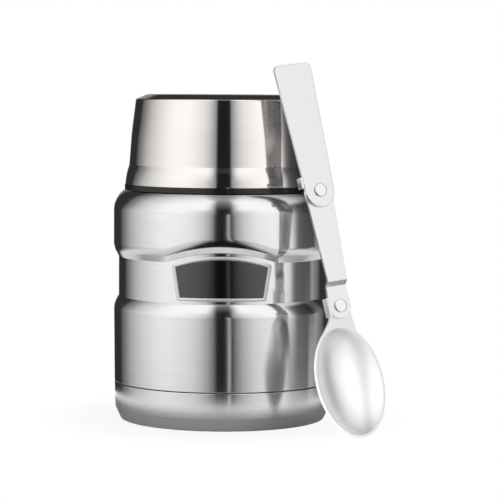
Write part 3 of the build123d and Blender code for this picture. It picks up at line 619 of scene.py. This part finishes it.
shape = bmesh.new()
face = badge_outline(shape)
wall = bmesh.ops.extrude_face_region(shape, geom=[face])
front = [item for item in wall["geom"] if isinstance(item, bmesh.types.BMFace)]
bmesh.ops.translate(
    shape, vec=(0, -RIM_PROUD / 2, 0), verts=[v for v in wall["geom"] if isinstance(v, bmesh.types.BMVert)])
shape.faces.remove(face)
for step in range(BEAD_STEPS):
    around = [pi * (share / BEAD_STEPS - 0.5) for share in (step, step + 1)]
    inward = RIM_WIDTH / 2 * (sin(around[1]) - sin(around[0]))
    outward = RIM_PROUD / 2 * (cos(around[1]) - cos(around[0]))
    bmesh.ops.recalc_face_normals(shape, faces=shape.faces)
    bmesh.ops.inset_region(shape, faces=front, thickness=inward, depth=outward, use_even_offset=True)
bmesh.ops.delete(shape, geom=front, context="FACES_ONLY")
bend_to_waist(shape)
piece(shape, "badge_rim", badge_chrome, "jar", "badge_chrome", "badge_plate", sharp=50.0)

shape = bmesh.new()
bmesh.ops.create_grid(shape, x_segments=48, y_segments=16, size=1.0)
for vert in shape.verts:
    up = (vert.co.y + 1) / 2
    half = BADGE_BOTTOM_HALF + (BADGE_TOP_HALF - BADGE_BOTTOM_HALF) * up - RIM_WIDTH / 2
    x = vert.co.x * half
    low = BADGE_BOTTOM + RIM_WIDTH / 2
    vert.co = (x, -PANEL_PROUD, low + (crown(x) - RIM_WIDTH / 2 - low) * up)
bend_to_waist(shape)
bmesh.ops.recalc_face_normals(shape, faces=shape.faces)
if shape.faces[:][0].normal.y > 0:
    bmesh.ops.reverse_faces(shape, faces=shape.faces)
piece(shape, "badge_panel", badge_black, "jar", "badge_face", "badge_inlay", sheet=PANEL_SHEET)


# ---- cup ---------------------------------------------------------------------------------
# The lid is a drinking cup: a drawn steel shell, brighter and a shade warmer than the body,
# over a black ring with the thread and a steel bowl. Its crown is bevelled to a flat top.

CUP_FOOT_Z = 102.0
CUP_FOOT_R = 42.62
CUP_SKIRT_EDGE = (42.45, 105.6)
CUP_STEP = (40.95, 110.6)
CUP_STEP_TOP = (40.85, 112.0)
CUP_BARREL = (39.95, 124.3)
CUP_CROWN_EDGE = (38.15, 138.9)
CUP_FLAT_R = 33.0
CUP_TOP = 141.0
CUP_LIP_ROUNDING = 0.2
CUP_SKIRT_ROUNDING = 25.0
CUP_STEP_ROUNDING = 2.0
CUP_BARREL_ROUNDING = 100.0
CUP_CROWN_ROUNDING = 0.6
CUP_FLAT_ROUNDING = 3.0

cup_steel = turned_steel("cup_steel", (1.0, 0.965, 0.94), 0.09, 0.55, 0.00012, 0.0000008, darker=0.03)
cup_line = (
    (CUP_FOOT_R - SHEET, CUP_FOOT_Z, 0), (CUP_FOOT_R, CUP_FOOT_Z, CUP_LIP_ROUNDING),
    (*CUP_SKIRT_EDGE, CUP_SKIRT_ROUNDING), (*CUP_STEP, CUP_STEP_ROUNDING), (*CUP_STEP_TOP, 0),
    (*CUP_BARREL, CUP_BARREL_ROUNDING), (*CUP_CROWN_EDGE, CUP_CROWN_ROUNDING),
    (CUP_FLAT_R, CUP_TOP, CUP_FLAT_ROUNDING), (0, CUP_TOP, 0))
piece(turned(cup_line), "cup_wall", cup_steel, "cup", "cup_steel", "cup_shell", sheet=SHEET)


def dress(material, *names):
    """Gives CAD nodes this finish."""
    for name in names:
        node = NODES[name]
        node.data.materials.clear()
        node.data.materials.append(material)


black_plastic = moulded("black_plastic", (0.016, 0.016, 0.017), 0.16, 0.0006, 0.0000008)
vessel_steel = turned_steel("vessel_steel", (0.80, 0.80, 0.79), 0.22, 0.5, 0.0003, 0.000002)
dress(black_plastic, "cup_ring")
dress(vessel_steel, "cup_bowl")


# ---- food vessel and vacuum --------------------------------------------------------------
# The food vessel hangs from the mouth's rim in a vacuum, wrapped in copper foil. A sintered
# pellet under it takes up the last gas, and a bead of solder closes the air hole.

def crinkled_foil(name, colour):
    """Thin bright foil with the creases of its wrapping."""
    material, nodes, links = new_material(name)
    shader = nodes.new("ShaderNodeBsdfPrincipled")
    shader.inputs["Metallic"].default_value = 1.0
    crease = spread_noise(nodes, links, 0.006, 0.009, detail=5.0, distortion=0.6)
    links.new(tint(nodes, links, crease, colour, 0.15), shader.inputs["Base Color"])
    links.new(range_node(nodes, links, crease, 0.16, 0.30), shader.inputs["Roughness"])
    links.new(bump_node(nodes, links, crease, 0.0004), shader.inputs["Normal"])
    surface(nodes, links, shader)
    return material


def sintered(name, colour):
    """Pressed metal powder, matt and pitted."""
    material, nodes, links = new_material(name)
    shader = nodes.new("ShaderNodeBsdfPrincipled")
    shader.inputs["Metallic"].default_value = 0.6
    pits = spread_noise(nodes, links, 0.00025, 0.00025, detail=6.0)
    links.new(tint(nodes, links, pits, colour, 0.4), shader.inputs["Base Color"])
    links.new(range_node(nodes, links, pits, 0.55, 0.8), shader.inputs["Roughness"])
    links.new(bump_node(nodes, links, pits, 0.00006), shader.inputs["Normal"])
    surface(nodes, links, shader)
    return material


dress(vessel_steel, "inner_vessel")
dress(crinkled_foil("copper_foil", (0.90, 0.50, 0.33)), "heat_foil")
dress(sintered("getter_metal", (0.30, 0.29, 0.28)), "getter")
dress(bright_metal("seal_metal", (0.60, 0.60, 0.57), 0.35, 0.0012, 0.00002), "vacuum_seal")


# ---- stopper -----------------------------------------------------------------------------
# A black moulded stopper screws into the mouth. Its drum is a compartment for the folded
# spoon with a press-on cover, and white foam fills the plug below.

stopper_plastic = moulded("stopper_plastic", (0.030, 0.030, 0.032), 0.42, 0.0003, 0.000008)
cover_plastic = moulded("cover_plastic", (0.045, 0.045, 0.048), 0.50, 0.0005, 0.000014)
silicone = moulded("silicone", (0.55, 0.55, 0.54), 0.55, 0.0008, 0.000005, darker=0.06, gloss=1.42)
white_foam = moulded("white_foam", (0.90, 0.90, 0.88), 0.85, 0.0012, 0.00012, darker=0.08, gloss=1.4)
dress(stopper_plastic, "stopper_body", "stopper_plug", "stopper_skirt", "stopper_cap")
dress(cover_plastic, "spoon_cover")
dress(silicone, "stopper_gasket", "cup_seal")
dress(white_foam, "stopper_foam")


# ---- spoon -------------------------------------------------------------------------------
# The folding spoon is cut and pressed from sheet, its edges tumbled smooth. Two bright
# rivets join the bowl, the link and the handle, whose face is brushed along its length.

EDGE = 0.22                     # width of a broken edge
SHARP = 25.0                    # edges that turn by more degrees than this are broken
SAME_PLANE = 0.4                # faces that turn by fewer are joined first
SAME_POINT = 0.002              # points closer than this are made one
LOWER_PIVOT = Vector(JOINTS["bowl_fold"]["pos_m"])
UPPER_PIVOT = Vector(JOINTS["handle_fold"]["pos_m"])
OUT = Vector(JOINTS["bowl_fold"]["axis"]).normalized()
ALONG = (UPPER_PIVOT - LOWER_PIVOT - OUT * (UPPER_PIVOT - LOWER_PIVOT).dot(OUT)).normalized()
ACROSS = ALONG.cross(OUT)


def softened(node, name, material, body):
    """A copy of a CAD node with its sharp edges broken, which stands for the node."""
    shape = bmesh.new()
    shape.from_mesh(NODES[node].data)
    bmesh.ops.scale(shape, vec=(1 / MM, 1 / MM, 1 / MM), verts=shape.verts)
    bmesh.ops.remove_doubles(shape, verts=shape.verts, dist=SAME_POINT)
    bmesh.ops.dissolve_limit(
        shape, angle_limit=radians(SAME_PLANE), verts=shape.verts, edges=shape.edges,
        use_dissolve_boundaries=False)
    edges = [e for e in shape.edges if len(e.link_faces) == 2 and e.calc_face_angle() > radians(SHARP)]
    bmesh.ops.bevel(
        shape, geom=edges, offset=EDGE, offset_type="OFFSET", segments=3, profile=0.5,
        affect="EDGES", material=-1, clamp_overlap=True)
    piece(shape, name, material, body, "spoon_steel", node, sharp=40.0)


def satin(name, colour, roughness, relief):
    """Sheet steel brushed along the spoon."""
    material, nodes, links = new_material(name)
    shader = nodes.new("ShaderNodeBsdfPrincipled")
    shader.inputs["Metallic"].default_value = 1.0
    place = nodes.new("ShaderNodeTexCoord").outputs["Object"]
    frame_of_spoon = nodes.new("ShaderNodeCombineXYZ")
    for socket, direction, grain in zip(frame_of_spoon.inputs, (ALONG, ACROSS, OUT), (0.008, 0.0002, 0.0002)):
        measure = nodes.new("ShaderNodeVectorMath")
        measure.operation = "DOT_PRODUCT"
        links.new(place, measure.inputs[0])
        measure.inputs[1].default_value = direction / grain
        links.new(measure.outputs["Value"], socket)
    brushing = nodes.new("ShaderNodeTexNoise")
    brushing.inputs["Scale"].default_value = 1.0
    brushing.inputs["Detail"].default_value = 3.0
    links.new(frame_of_spoon.outputs[0], brushing.inputs["Vector"])
    grain = brushing.outputs["Fac"]
    links.new(tint(nodes, links, grain, colour, 0.03), shader.inputs["Base Color"])
    links.new(range_node(nodes, links, grain, roughness * 0.85, roughness * 1.15), shader.inputs["Roughness"])
    links.new(bump_node(nodes, links, grain, relief), shader.inputs["Normal"])
    surface(nodes, links, shader)
    return material


spoon_steel = satin("spoon_steel", (0.94, 0.94, 0.94), 0.26, 0.0000015)
bowl_steel = satin("bowl_steel", (1.0, 1.0, 1.0), 0.4, 0.0000003)
rivet_steel = bright_metal("rivet_steel", (0.95, 0.95, 0.95), 0.12, 0.0006, 0.000001)
softened("spoon_handle", "handle_strip", spoon_steel, "spoon_handle")
softened("spoon_link", "link_strip", spoon_steel, "spoon_link")
dress(bowl_steel, "spoon_bowl")
dress(rivet_steel, "rivet_lower", "rivet_upper")
